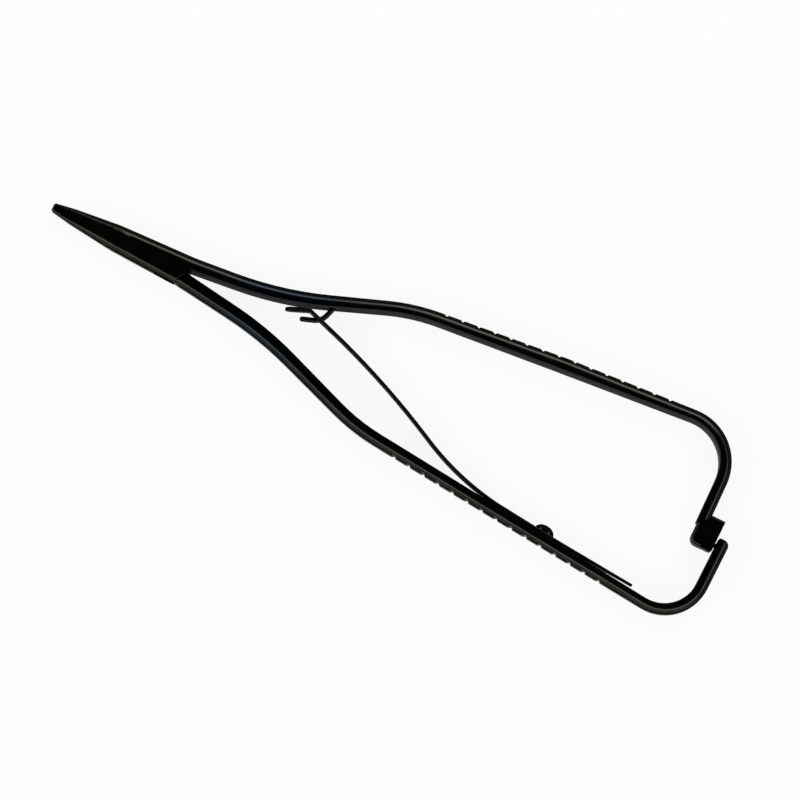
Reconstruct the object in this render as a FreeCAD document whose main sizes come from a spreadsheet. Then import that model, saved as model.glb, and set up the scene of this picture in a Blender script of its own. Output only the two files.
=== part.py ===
import FreeCAD, Part
import math
import os

# Palm-grip needle holder, jaws closed, lying flat on its side. Millimetres.
# X runs along the instrument from the jaws (negative) to the handle ends (positive).
# Y is positive on the upper arm's side, Z is up, and Z = 0 is the surface it rests on.
# The origin is the pivot's axis, on that surface.

Vector = FreeCAD.Vector

# Driving dimensions: name, value, what it is.
SIZES = [
    ("body_height", 5.0, "height of both halves above the table, over the box lock and the arms"),
    ("tip_reach", 20.1, "pivot axis to the tip of the jaws"),
    ("tip_half_width", 0.8, "half width of the closed jaws at the tip"),
    ("tip_height", 2.2, "height of the jaws at the tip"),
    ("tip_corner", 0.45, "radius of the tip's outer corner in plan"),
    ("taper_end", 6.0, "distance in front of the pivot where the jaws begin to thin"),
    ("taper_blend", 40.0, "radius that blends the thinning jaws into the box"),
    ("tip_length", 4.1, "length of the thin point in front of the jaws' first shoulder"),
    ("jaw_shoulder_half", 1.47, "half width there"),
    ("shoulder_bend", 12.0, "radius of the outline at that shoulder"),
    ("box_bend", 30.0, "radius of the outline at both ends of the box lock"),
    ("box_front", 7.2, "distance in front of the pivot where the box lock begins"),
    ("box_front_half", 2.43, "half width there"),
    ("box_rear", 8.0, "distance behind the pivot where the arms begin"),
    ("box_rear_half", 3.04, "half width there"),
    ("step_inner", 10.2, "distance from the pivot of the cheek step at the jaws' parting face"),
    ("step_outer", 6.9, "distance from the pivot of the cheek step at the outside"),
    ("rear_step_outer", 6.2, "outer end of the cheeks' rear step from the pivot"),
    ("crotch", 8.2, "distance behind the pivot of the crotch between the arms"),
    ("crotch_gap", 0.3, "half the gap between the arms at the crotch"),
    ("tongue_half_width", 1.5, "half width of the tongue inside the box lock"),
    ("tongue_angle", 11.0, "angle of the tongue across the instrument, degrees"),
    ("tongue_height", 2.0, "height of the tongue"),
    ("opening_angle", 13.0, "how far the jaws open, degrees"),
    ("opening_spare", 1.5, "spare angle of the slot past full opening, degrees"),
    ("slide_gap", 0.04, "clearance of sliding faces in the box lock"),
    ("step_gap", 0.08, "clearance at the cheek steps"),
    ("step_bevel", 0.35, "bevel of the cheeks' edges at those steps"),
    ("teeth_length", 8.9, "length of the toothed part of the jaws, from the tip"),
    ("teeth_pitch", 1.0, "distance between the crossing grooves of the jaw teeth"),
    ("teeth_depth", 0.25, "depth of those grooves"),
    ("teeth_flat", 0.1, "flat left between two grooves"),
    ("pin_diameter", 1.9, "pivot pin"),
    ("pin_running_gap", 0.04, "radial clearance of the pin in the tongue"),
    ("flare_x", 25.4, "distance behind the pivot where the arms begin to spread"),
    ("flare_bend", 68.0, "radius of that bend"),
    ("grip_x", 48.4, "distance behind the pivot where the grips begin"),
    ("grip_bend", 38.0, "radius of that bend"),
    ("swell_x", 78.0, "distance behind the pivot of the grips' middle"),
    ("swell_bend", 30.0, "radius of the slight bow there"),
    ("neck_width", 2.6, "width of the arms at the flare, in plan"),
    ("waist_width", 2.3, "width of the arms where the grips begin, in plan"),
    ("upper_flare_y", 3.5, "upper arm's centre line from the axis at the flare"),
    ("upper_grip_y", 12.34, "upper arm's centre line where the grip begins"),
    ("upper_swell_y", 15.4, "upper arm's centre line at the grip's middle"),
    ("upper_swell_width", 2.65, "upper arm's width at the grip's middle"),
    ("upper_heel_x", 113.1, "upper arm's heel, where the leg turns down"),
    ("upper_heel_y", 18.34, "upper arm's centre line at the heel"),
    ("upper_heel_width", 2.05, "upper arm's width in front of the heel"),
    ("upper_heel_bend", 9.1, "radius of the upper heel's centre line"),
    ("upper_leg_width", 2.3, "upper leg's width in plan"),
    ("upper_leg_lean", 0.4, "how far the upper leg leans back over its length"),
    ("lower_flare_y", 3.9, "lower arm's centre line from the axis at the flare"),
    ("lower_grip_y", 11.96, "lower arm's centre line where the grip begins"),
    ("lower_swell_y", 14.74, "lower arm's centre line at the grip's middle"),
    ("lower_swell_width", 2.15, "lower arm's width at the grip's middle"),
    ("lower_heel_x", 118.45, "lower arm's heel, where the leg turns up"),
    ("lower_heel_y", 18.52, "lower arm's centre line at the heel"),
    ("lower_heel_width", 1.85, "lower arm's width in front of the heel"),
    ("lower_heel_bend", 7.6, "radius of the lower heel's centre line"),
    ("lower_leg_width", 2.3, "lower leg's width in plan"),
    ("lower_leg_lean", 0.2, "how far the lower leg leans back over its length"),
    ("tip_round", 0.4, "rounding of the outer edges at the tip"),
    ("edge_round", 1.45, "rounding of the outer edges from the box lock on"),
    ("inner_bevel", 0.3, "bevel of the arms' inner edges"),
    ("notch_count", 15, "grip notches on each arm"),
    ("notch_pitch", 3.13, "distance between the notches along the instrument"),
    ("upper_notch_start", 54.5, "first notch of the upper arm from the pivot"),
    ("lower_notch_start", 57.3, "first notch of the lower arm from the pivot"),
    ("notch_depth", 0.45, "depth of the notches"),
    ("notch_width", 0.95, "width of the notches"),
    ("notch_slant", 0.62, "share of that width on their gentle front side"),
    ("block_height", 3.4, "height of the ratchet rack, centred on the leg"),
    ("block_front", 112.65, "front face of the ratchet block from the pivot"),
    ("block_step", 115.0, "where the lower rack part begins"),
    ("block_rear", 117.3, "rear face of the ratchet block"),
    ("block_top", 2.35, "upper end of the ratchet rack from the axis"),
    ("block_shoulder", 0.4, "where the block stands proud of the leg, from the axis"),
    ("block_bottom", -3.9, "lower end of the ratchet block from the axis"),
    ("block_lap", 0.6, "how far the block's pieces reach into each other"),
    ("block_corner", 1.35, "radius of the block's front corner in plan"),
    ("block_rear_corner", 0.6, "radius of the block's rear corners in plan"),
    ("block_round", 0.5, "rounding of the block's upper and lower edges"),
    ("rack_bevel", 0.45, "bevel of the rack's end and rear edges"),
    ("track_height", 1.0, "height of the return track, and of the toothed track above it"),
    ("track_depth", 0.75, "depth of both tracks"),
    ("track_top", 0.9, "upper end of both tracks from the axis"),
    ("tooth_lead", 0.3, "distance from the block's lower end to the first tooth"),
    ("tooth_pitch", 1.0, "pitch of the ratchet teeth"),
    ("tooth_count", 3, "ratchet teeth"),
    ("finger_end", 0.85, "how far the finger's tip stays below the axis"),
    ("finger_gap", 0.12, "clearance between the finger and the block"),
    ("finger_corner", 1.2, "radius of the finger's outer corner in plan"),
    ("finger_inner_corner", 0.5, "radius of the finger's inner corner in plan"),
    ("beak_place", 1.9, "beak from the axis"),
    ("beak_width", 0.9, "width of the beak along the track"),
    ("leaf_thickness", 0.6, "leaf spring thickness"),
    ("leaf_tail_thickness", 0.4, "leaf spring thickness at its tail"),
    ("leaf_height", 3.6, "leaf spring height"),
    ("leaf_tail_height", 2.2, "leaf spring height at its tail"),
    ("leaf_end_x", 27.0, "free end of the leaf from the pivot"),
    ("leaf_end_gap", 0.35, "gap between the leaf's free end and the upper arm"),
    ("leaf_fold_x", 31.2, "fold of the leaf under the upper arm"),
    ("leaf_fold_gap", 0.25, "gap between the leaf's fold and the upper arm"),
    ("leaf_fold_bend", 0.9, "radius of that fold"),
    ("leaf_bow_x", 49.2, "middle of the leaf's long bow"),
    ("leaf_bow_y", -1.9, "height of the leaf's long bow from the axis"),
    ("leaf_bow_bend", 165.0, "radius of the long bow"),
    ("leaf_seat_x", 70.4, "where the leaf turns into line with the lower arm"),
    ("leaf_seat_bend", 52.0, "radius of that turn"),
    ("leaf_tail_x", 107.0, "tail end of the leaf from the pivot"),
    ("leaf_lift_x", 91.5, "where the tail lifts off the arm"),
    ("leaf_lift", 1.6, "angle at which the tail lifts, degrees"),
    ("leaf_lift_bend", 60.0, "radius where the tail lifts"),
    ("leaf_slot_length", 3.4, "slot in the leaf for the hook"),
    ("leaf_slot_height", 1.5, "height of that slot"),
    ("screw_x", 88.1, "screw from the pivot"),
    ("screw_diameter", 2.0, "screw thread"),
    ("screw_depth", 1.6, "depth of the screw in the arm"),
    ("screw_head", 3.8, "diameter of the screw's head"),
    ("screw_rim", 0.4, "height of the head's straight rim"),
    ("screw_dome", 0.95, "height of the head's dome"),
    ("screw_shoulder", 3.0, "diameter of the dome where it bends inwards"),
    ("screw_crown", 1.7, "diameter of the dome's flat top"),
    ("screw_crown_rise", 0.38, "height of the flat top above that bend"),
    ("screw_slot", 0.5, "width of the driver slot"),
    ("screw_slot_depth", 0.5, "depth of the driver slot"),
    ("thread_gap", 0.05, "clearance of the screw in the leaf"),
    ("hook_diameter", 1.0, "wire of the hook"),
    ("hook_x", 34.9, "root of the hook from the pivot"),
    ("hook_depth", 1.4, "depth of the hook's root in the arm"),
    ("hook_bend_x", 34.0, "bend of the hook from the pivot"),
    ("hook_bend_y", 2.95, "bend of the hook from the axis"),
    ("hook_bend", 1.2, "length cut off at the hook's bend on each side"),
    ("hook_end_x", 30.5, "end of the hook from the pivot"),
    ("hook_end_y", 1.7, "end of the hook from the axis"),
]

doc = FreeCAD.newDocument("needle_holder")
sheet = doc.addObject("Spreadsheet::Sheet", "Sizes")
for row, (alias, value, meaning) in enumerate(SIZES, start=1):
    sheet.set(f"A{row}", meaning)
    sheet.set(f"B{row}", str(value))
    sheet.setAlias(f"B{row}", alias)
doc.recompute()


def size(alias):
    """A driving dimension, read from the sheet."""
    return float(sheet.get(alias))


HEIGHT = size("body_height")
MIDDLE = HEIGHT / 2
UP = Vector(0, 0, 1)
BEYOND = 2.0  # how far a cutting shape runs past the surface it cuts


# Outlines

def unit(vector):
    """The vector at length one."""
    return Vector(vector) / vector.Length


def meeting(start_a, end_a, start_b, end_b):
    """Where the lines through two pairs of points meet, in plan."""
    a = end_a - start_a
    b = end_b - start_b
    offset = start_b - start_a
    share = (offset.x * b.y - offset.y * b.x) / (a.x * b.y - a.y * b.x)
    return start_a + a * share


def rounded(corners, closed=True):
    """Lines and tangent arcs through corners given as (point, radius)."""
    count = len(corners)
    pieces = []
    last = None
    first = None
    for index, (point, radius) in enumerate(corners):
        inner = closed or 0 < index < count - 1
        if radius <= 0 or not inner:
            entry = point
            leave = point
        else:
            before = unit(corners[index - 1][0] - point)
            after = unit(corners[(index + 1) % count][0] - point)
            half = before.getAngle(after) / 2
            reach = radius / math.tan(half)
            entry = point + before * reach
            leave = point + after * reach
            middle = point + unit(before + after) * (radius / math.sin(half) - radius)
        if last is not None and last.distanceToPoint(entry) > 1e-6:
            pieces.append(Part.LineSegment(last, entry))
        if entry.distanceToPoint(leave) > 1e-6:
            pieces.append(Part.Arc(entry, middle, leave))
        if first is None:
            first = entry
        last = leave
    if closed and last.distanceToPoint(first) > 1e-6:
        pieces.append(Part.LineSegment(last, first))
    return pieces


def offset_path(stations, side):
    """Corners at half a width to one side of a centre line.

    A station is (point, bend radius, width before it, width after it). Side is +1 for the left of
    the direction of travel and -1 for the right.
    """
    corners = []
    for index, (point, radius, width_before, width_after) in enumerate(stations):
        into = None
        out = None
        if index > 0:
            into = unit(point - stations[index - 1][0])
        if index < len(stations) - 1:
            out = unit(stations[index + 1][0] - point)
        into = into or out
        out = out or into
        left_in = Vector(-into.y, into.x, 0) * side * width_before / 2
        left_out = Vector(-out.y, out.x, 0) * side * width_after / 2
        if into.getAngle(out) < 1e-4:
            corner = point + left_in
        else:
            corner = meeting(point + left_in, point + left_in + into, point + left_out, point + left_out + out)
        turn = into.cross(out).z
        mean = (width_before + width_after) / 4
        if index == len(stations) - 1:
            corners.append((corner, radius))
        else:
            corners.append((corner, radius - mean * side if turn > 0 else radius + mean * side))
    return corners


# Plan of the two halves, y measured outwards from the axis on either side

def box_corners():
    """The closed box lock's outer edge, from the tip to where the arms begin."""
    return [
        (Vector(-size("tip_reach"), size("tip_half_width"), 0), size("tip_corner")),
        (Vector(size("tip_length") - size("tip_reach"), size("jaw_shoulder_half"), 0), size("shoulder_bend")),
        (Vector(-size("box_front"), size("box_front_half"), 0), size("box_bend")),
        (Vector(size("box_rear"), size("box_rear_half"), 0), size("box_bend")),
    ]


def arm_stations(arm, leg_end=0.0, end_corner=0.0):
    """Centre line of an arm, from the flare to the end of its leg at a height above the axis."""
    neck = size("neck_width")
    waist = size("waist_width")
    swell = size(arm + "_swell_width")
    heel = size(arm + "_heel_width")
    leg = size(arm + "_leg_width")
    heel_point = Vector(size(arm + "_heel_x"), size(arm + "_heel_y"), 0)
    end_point = Vector(heel_point.x + size(arm + "_leg_lean"), leg_end, 0)
    return [
        (Vector(size("flare_x"), size(arm + "_flare_y"), 0), size("flare_bend"), neck, neck),
        (Vector(size("grip_x"), size(arm + "_grip_y"), 0), size("grip_bend"), waist, waist),
        (Vector(size("swell_x"), size(arm + "_swell_y"), 0), size("swell_bend"), swell, swell),
        (heel_point, size(arm + "_heel_bend"), heel, leg),
        (end_point, end_corner, leg, leg),
    ]


def outer_corners(arm, leg_end=0.0, end_corner=0.0):
    """Outer edge of a half on one side, from the tip along the box lock and the arm to its leg."""
    return box_corners() + offset_path(arm_stations(arm, leg_end, end_corner), 1)


def inner_corners(arm, leg_end=0.0, end_corner=0.0):
    """Inner edge of an arm, from the crotch to the end of its leg."""
    crotch = (Vector(size("crotch"), size("crotch_gap"), 0), 0)
    return [crotch] + offset_path(arm_stations(arm, leg_end, end_corner), -1)


def height_on(corners, x):
    """How far from the axis a row of corners lies at x, and the direction there."""
    for (start, _), (end, _) in zip(corners, corners[1:]):
        if start.x <= x <= end.x:
            share = (x - start.x) / (end.x - start.x)
            return start.y + (end.y - start.y) * share, unit(end - start)
    raise ValueError(f"no edge at {x}")


def flipped(corners, side):
    """Corners on the lower side of the axis where side is -1."""
    return [(Vector(point.x, point.y * side, 0), radius) for point, radius in corners]


def cut_before(corners, x, keep_front):
    """The part of a row of corners in front of x, or behind it, ending on the row."""
    y, _ = height_on(corners, x)
    here = (Vector(x, y, 0), 0)
    if keep_front:
        return [corner for corner in corners if corner[0].x < x - 1e-6] + [here]
    return [here] + [corner for corner in corners if corner[0].x > x + 1e-6]


def spared_behind(corners, x):
    """The part of a row behind x, with spare width round the box lock's end for the outer form to trim."""
    rows = cut_before(corners, x, False)
    here = rows[0][0]
    join_x = size("box_rear") + (size("flare_x") - size("box_rear")) / 4
    join_y, _ = height_on(corners, join_x)
    behind = [corner for corner in rows if corner[0].x > join_x]
    return [rows[0], (here + Vector(0, BEYOND, 0), 0), (Vector(join_x, join_y, 0), 0)] + behind


def step_line(front):
    """The oblique cheek step in front of the pivot, or behind it: its inner and outer ends."""
    sign = -1 if front else 1
    corners = outer_corners("upper" if front else "lower")
    reach = size("step_outer" if front else "rear_step_outer")
    y, _ = height_on(corners, sign * reach)
    outer = Vector(sign * reach, -sign * y, 0)
    if front:
        return Vector(-size("step_inner"), 0, 0), outer
    return Vector(size("crotch"), -size("crotch_gap"), 0), outer


def box_half_plan():
    """Lower jaw, cheeks, upper arm and its leg, as one closed row of corners."""
    arm = cut_before(outer_corners("upper"), -size("step_outer"), False)
    jaw = cut_before(outer_corners("lower"), size("rear_step_outer"), True)
    plan = [(Vector(-size("tip_reach"), 0, 0), 0), (step_line(True)[0], 0)]
    plan += arm
    plan += list(reversed(inner_corners("upper")))
    plan += [(Vector(size("crotch"), -size("crotch_gap"), 0), 0)]
    plan += list(reversed(flipped(jaw, -1)))
    return plan


def tongue_half_plan():
    """Upper jaw, tongue, lower arm, its leg and the finger, as one closed row of corners."""
    upper = outer_corners("upper")
    lower = outer_corners("lower", size("finger_end"), size("finger_corner"))
    half = size("tongue_half_width")
    angle = math.radians(size("tongue_angle"))
    along = Vector(math.cos(angle), -math.sin(angle), 0)
    across = Vector(math.sin(angle), math.cos(angle), 0)
    upper_flank = (across * half, across * half + along)
    lower_flank = (across * -half, across * -half + along)
    ahead = [corner[0] for corner in upper if corner[0].x < 0][-1]
    behind = [corner[0] for corner in upper if corner[0].x > 0][0]
    leave_front = meeting(*upper_flank, ahead, behind)
    ahead_low, behind_low = [point for point, _ in flipped([(ahead, 0), (behind, 0)], -1)]
    leave_rear = meeting(*lower_flank, ahead_low, behind_low)
    contact = meeting(*lower_flank, Vector(-1, 0, 0), Vector(0, 0, 0))
    inner = flipped(inner_corners("lower", size("finger_end"), size("finger_inner_corner")), -1)
    crotch = inner[0][0]
    flank_end = meeting(*upper_flank, crotch, crotch + Vector(0, 1, 0))
    plan = [(Vector(-size("tip_reach"), 0, 0), 0)]
    plan += cut_before(upper, leave_front.x, True)
    plan += [(flank_end, 0)]
    plan += inner
    plan += list(reversed(flipped(spared_behind(lower, leave_rear.x), -1)))
    plan += [(contact, 0)]
    return plan


def outer_form_plan():
    """The whole outside of the instrument, with the space between the arms filled."""
    upper = outer_corners("upper")
    lower = flipped(outer_corners("lower"), -1)
    return upper + list(reversed(lower))


def slot_plan():
    """The slot that the tongue swings in, open in front above the jaws' parting face."""
    half = size("tongue_half_width") + size("slide_gap")
    shut = math.radians(size("tongue_angle"))
    wide = shut + math.radians(size("opening_angle") + size("opening_spare"))
    reach = 3 * size("box_rear_half")

    def flank(angle):
        foot = Vector(math.sin(angle), math.cos(angle), 0) * half
        return foot, foot + Vector(math.cos(angle), -math.sin(angle), 0)

    def along(line, distance):
        return line[0] + (line[1] - line[0]) * distance

    crossing = meeting(*flank(shut), *flank(wide))
    shut_end = along(flank(shut), reach)
    wide_end = along(flank(wide), -reach)
    contact = meeting(flank(shut)[0] * -1, flank(shut)[1] * -1, Vector(-1, 0, 0), Vector(0, 0, 0))
    front = Vector(-size("step_inner") - BEYOND, 0, 0)
    return loop([wide_end, crossing, shut_end, wide_end * -1, crossing * -1, contact, front])


# Helpers that make features

def new_body(label):
    """An empty body."""
    body = doc.addObject("PartDesign::Body", label)
    body.Label = label
    return body


def plane_of(body, role):
    """One of a body's own origin planes."""
    return [feature for feature in body.Origin.OriginFeatures if feature.Role == role][0]


def sketch_on(body, name, geometry, height=0.0, role="XY_Plane"):
    """A sketch of the geometry on a body's own origin plane, lifted off it by a height."""
    sketch = body.newObject("Sketcher::SketchObject", name)
    sketch.AttachmentSupport = (plane_of(body, role), [""])
    sketch.MapMode = "FlatFace"
    sketch.AttachmentOffset = FreeCAD.Placement(Vector(0, 0, height), FreeCAD.Rotation())
    sketch.addGeometry(geometry, False)
    return sketch


def pad(body, name, geometry, height, thickness):
    """Material added upwards from a height. The thickness is a formula of the sheet's names."""
    feature = body.newObject("PartDesign::Pad", name)
    feature.Profile = sketch_on(body, name + "_outline", geometry, height)
    feature.setExpression("Length", thickness)
    doc.recompute()
    return feature


def pocket(body, name, geometry, height, thickness):
    """Material taken away upwards from a height. The thickness is a formula of the sheet's names."""
    before = body.Shape.Volume
    feature = body.newObject("PartDesign::Pocket", name)
    feature.Profile = sketch_on(body, name + "_outline", geometry, height)
    feature.setExpression("Length", thickness)
    feature.Reversed = True
    doc.recompute()
    if body.Shape.Volume >= before - 1e-6:
        raise RuntimeError(name + " cuts nothing")
    return feature


def side_pocket(body, name, geometry):
    """Material taken away right through, from an outline in the side view."""
    before = body.Shape.Volume
    feature = body.newObject("PartDesign::Pocket", name)
    feature.Profile = sketch_on(body, name + "_outline", geometry, 0.0, "XZ_Plane")
    feature.Type = 1
    feature.Midplane = True
    doc.recompute()
    if body.Shape.Volume >= before - 1e-6:
        raise RuntimeError(name + " cuts nothing")
    return feature


def loop(points):
    """Straight closed outline through points."""
    return [Part.LineSegment(a, b) for a, b in zip(points, points[1:] + points[:1])]


def cylinder(name, radius, length, base, axis):
    """A round bar or drill. Radius and length are formulas of the sheet's names."""
    bar = doc.addObject("Part::Cylinder", name)
    bar.setExpression("Radius", radius)
    bar.setExpression("Height", length)
    bar.Placement = FreeCAD.Placement(base, FreeCAD.Rotation(Vector(0, 0, 1), axis))
    return bar


def boolean(kind, name, pieces):
    """Pieces fused, or what they share."""
    feature = doc.addObject(kind, name)
    feature.Shapes = pieces
    doc.recompute()
    return feature


def cut(name, base, tools):
    """A base with the tools' material taken away."""
    tool = boolean("Part::MultiFuse", name + "_tools", tools) if len(tools) > 1 else tools[0]
    feature = doc.addObject("Part::Cut", name)
    feature.Base = base
    feature.Tool = tool
    before = base.Shape.Volume
    doc.recompute()
    if feature.Shape.Volume >= before - 1e-6:
        raise RuntimeError(name + " cuts nothing")
    return feature


def edges_along(shape, corners, near=0.05):
    """Numbers of the edges of the top and bottom that follow a row of corners."""
    path = Part.Wire([piece.toShape() for piece in rounded(corners, closed=False)])
    found = []
    for number, edge in enumerate(shape.Edges, start=1):
        ends = [vertex.Point for vertex in edge.Vertexes]
        if len(ends) < 2:
            continue
        flat = Vector(ends[0].x - ends[1].x, ends[0].y - ends[1].y, 0)
        if flat.Length < 1e-3:
            continue
        places = ends + [edge.valueAt((edge.FirstParameter + edge.LastParameter) / 2)]
        if any(abs(place.z - MIDDLE) < size("tip_height") / 2 - 0.01 for place in places):
            continue
        if all(path.distToShape(Part.Vertex(place.x, place.y, 0))[0] < near for place in places):
            found.append(number)
    return found


# The rounded outside that both halves share

def taper_profile(top):
    """Side view of what the jaws lose above their thinning top face, or below their bottom face."""
    sign = 1 if top else -1
    level = MIDDLE + sign * MIDDLE
    tip_level = MIDDLE + sign * size("tip_height") / 2
    length = size("tip_reach") - size("taper_end")
    past = BEYOND / length
    corners = [
        (Vector(0, level, 0), 0),
        (Vector(-size("taper_end"), level, 0), size("taper_blend")),
        (Vector(-size("tip_reach") - BEYOND, tip_level - (level - tip_level) * past, 0), 0),
        (Vector(-size("tip_reach") - BEYOND, level + sign * BEYOND, 0), 0),
        (Vector(0, level + sign * BEYOND, 0), 0),
    ]
    return rounded(corners)


def edge_round(x):
    """Rounding of the outer edges at x: small at the tip, full from the box lock on."""
    length = size("tip_reach") - size("box_front")
    share = min(1.0, max(0.0, (x + size("tip_reach")) / length))
    return size("tip_round") + (size("edge_round") - size("tip_round")) * share


def chain_place(point, side):
    """Where a point lies along the outer edge, counted from the tip: negative on the lower side."""
    return (point.x + 2 * size("tip_reach")) * side


def edge_radii(shape, row):
    """Numbers and end radii of a row of outer edges, in the direction that their rounding runs."""
    row.sort(key=lambda number: abs(middle_of(shape.Edges[number - 1]).x - size("box_rear")))
    rising = None
    radii = []
    for number in row:
        edge = shape.Edges[number - 1]
        side = 1 if middle_of(edge).y > 0 else -1
        ends = [edge.valueAt(edge.FirstParameter), edge.valueAt(edge.LastParameter)]
        if edge.Orientation == "Reversed":
            ends.reverse()
        upwards = chain_place(ends[0], side) < chain_place(ends[1], side)
        if rising is None:
            rising = not upwards
        if upwards != rising:
            ends.reverse()
        radii.append((number, edge_round(ends[0].x), edge_round(ends[1].x)))
    return radii


def middle_of(edge):
    """The point halfway along an edge."""
    return edge.valueAt((edge.FirstParameter + edge.LastParameter) / 2)


def make_outer_form():
    """The outside of the whole instrument, its jaws thinned and its outer edges rounded."""
    body = new_body("outer_blank")
    pad(body, "outer_plan", rounded(outer_form_plan()), 0, "Sizes.body_height")
    side_pocket(body, "top_taper", taper_profile(True))
    side_pocket(body, "bottom_taper", taper_profile(False))
    shape = body.Shape
    across_tip = [(Vector(-size("tip_reach"), side * size("tip_half_width"), 0), 0) for side in (1, -1)]
    rows = outer_corners("upper"), flipped(outer_corners("lower"), -1), across_tip
    numbers = [number for row in rows for number in edges_along(shape, row)]
    radii = []
    for top in (True, False):
        chain = [number for number in numbers if (middle_of(shape.Edges[number - 1]).z > MIDDLE) == top]
        radii += edge_radii(shape, chain)
    feature = doc.addObject("Part::Fillet", "outer_form")
    feature.Base = body
    feature.Edges = radii
    doc.recompute()
    return feature


def bevel(base, corners, name):
    """Bevels the top and bottom edges of a blank that follow a row of corners."""
    feature = doc.addObject("Part::Chamfer", name)
    feature.Base = base
    width = size("inner_bevel")
    feature.Edges = [(number, width, width) for number in edges_along(base.Shape, corners)]
    doc.recompute()
    return feature


def step_bevels():
    """Square bars that bevel the cheeks' edges where the tongue half's shoulders meet them."""
    bars = []
    width = size("step_bevel")
    for front in (True, False):
        inner, outer = step_line(front)
        along = unit(outer - inner)
        for level in (0, HEIGHT):
            bar = doc.addObject("Part::Prism", ("front" if front else "rear") + "_step_bevel")
            bar.Polygon = 4
            bar.setExpression("Circumradius", "Sizes.step_bevel")
            bar.setExpression("Height", "Sizes.box_rear_half")
            turn = FreeCAD.Rotation(UP, along.cross(UP), along, "ZXY")
            bar.Placement = FreeCAD.Placement(inner + along * width + UP * level, turn)
            bars.append(bar)
    return bars


def jaw_grooves(side, lean):
    """One set of the slanting grooves across a jaw's face: the upper jaw's where side is +1."""
    depth = size("teeth_depth")
    past = depth / 10
    half = (size("teeth_pitch") - size("teeth_flat")) / 2 * (depth + past) / depth
    length = size("teeth_length")
    middle = Vector(length / 2 - size("tip_reach"), 0, MIDDLE)
    count = int((length + HEIGHT) / math.sqrt(8) / size("teeth_pitch")) + 1
    run = unit(Vector(1, 0, lean))
    across = Vector(-run.z, 0, run.x)
    outline = []
    for index in range(-count, count + 1):
        place = index * size("teeth_pitch")
        outline += loop([
            Vector(place, -side * depth, 0),
            Vector(place + half, side * past, 0),
            Vector(place - half, side * past, 0),
        ])
    name = ("upper" if side > 0 else "lower") + ("_rising" if lean > 0 else "_falling")
    body = new_body(name + "_bars")
    bars = pad(body, name + "_grooves", outline, 0, "2 * Sizes.teeth_length")
    turn = FreeCAD.Rotation(across, run.cross(across), run, "ZXY")
    bars.Profile[0].AttachmentOffset = FreeCAD.Placement(middle, turn)
    bars.Midplane = True
    room = doc.addObject("Part::Box", name + "_room")
    room.setExpression("Length", "Sizes.teeth_length + 1")
    room.setExpression("Width", "4 * Sizes.teeth_depth")
    room.setExpression("Height", "Sizes.body_height")
    room.Placement.Base = Vector(-size("tip_reach") - 1, -2 * depth, 0)
    return boolean("Part::MultiCommon", name + "_kept", [body, room])


def toothed(blank, side):
    """A half's blank with the crossing grooves cut in its jaw."""
    for lean in (1, -1):
        blank = cut(f"{blank.Name}_{'once' if lean > 0 else 'twice'}", blank, [jaw_grooves(side, lean)])
    return blank


def notch_outlines(arm, side):
    """The row of notches filed across an arm's outer edge: steep behind, gentle in front."""
    corners = outer_corners(arm)
    depth = size("notch_depth")
    gentle = size("notch_width") * size("notch_slant")
    steep = size("notch_width") - gentle
    outline = []
    for index in range(int(size("notch_count"))):
        x = size(arm + "_notch_start") + index * size("notch_pitch")
        y, along = height_on(corners, x)
        out = Vector(-along.y, along.x, 0)
        root = Vector(x, y, 0) - out * depth
        points = [root, root + (along * steep + out * depth) * 2, root + (out * depth - along * gentle) * 2]
        outline += loop([Vector(point.x, point.y * side, 0) for point in points])
    return outline


# box_half: lower jaw, cheeks, upper arm, its leg and the ratchet block

def block_plan():
    """Plan of the ratchet block's full-height part, from inside the leg down to its round end."""
    leg = size("upper_heel_x") + size("upper_leg_lean") - size("upper_leg_width") / 2
    top = size("block_shoulder")
    front = size("block_front")
    step = size("block_step")
    bottom = size("block_bottom")
    return rounded([
        (Vector(leg + size("block_lap"), top + size("block_lap"), 0), 0),
        (Vector(front, top, 0), size("block_lap") / 2),
        (Vector(front, bottom, 0), size("block_corner")),
        (Vector(step, bottom, 0), 0),
        (Vector(step, top + size("block_lap"), 0), 0),
    ])


def rack_plan():
    """Plan of the lower rack part behind it."""
    front = size("block_step") - size("block_lap")
    rear = size("block_rear")
    corner = size("block_rear_corner")
    return rounded([
        (Vector(front, size("block_top"), 0), 0),
        (Vector(front, size("block_bottom"), 0), 0),
        (Vector(rear, size("block_bottom"), 0), corner),
        (Vector(rear, size("block_top"), 0), 0),
    ])


def tooth_gaps():
    """Plan of the gaps between the ratchet teeth, with a free passage above the last tooth."""
    root = size("block_rear") - size("track_depth")
    tip = size("block_rear")
    pitch = size("tooth_pitch")
    count = int(size("tooth_count"))
    start = size("block_bottom") + size("tooth_lead")
    outline = [Vector(tip + BEYOND, start, 0)]
    for index in range(count):
        low = start + index * pitch
        outline += [Vector(root, low, 0), Vector(tip, low + pitch, 0)]
    passage = start + count * pitch
    outline += [Vector(root, passage, 0), Vector(root, size("track_top"), 0)]
    outline += [Vector(tip + BEYOND, size("track_top"), 0)]
    return loop(outline)


def edges_near(shape, low, high):
    """Numbers of the edges that lie between two corners of a box."""
    box = FreeCAD.BoundBox(low, high)
    return [number for number, edge in enumerate(shape.Edges, start=1) if box.isInside(edge.BoundBox)]


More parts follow.
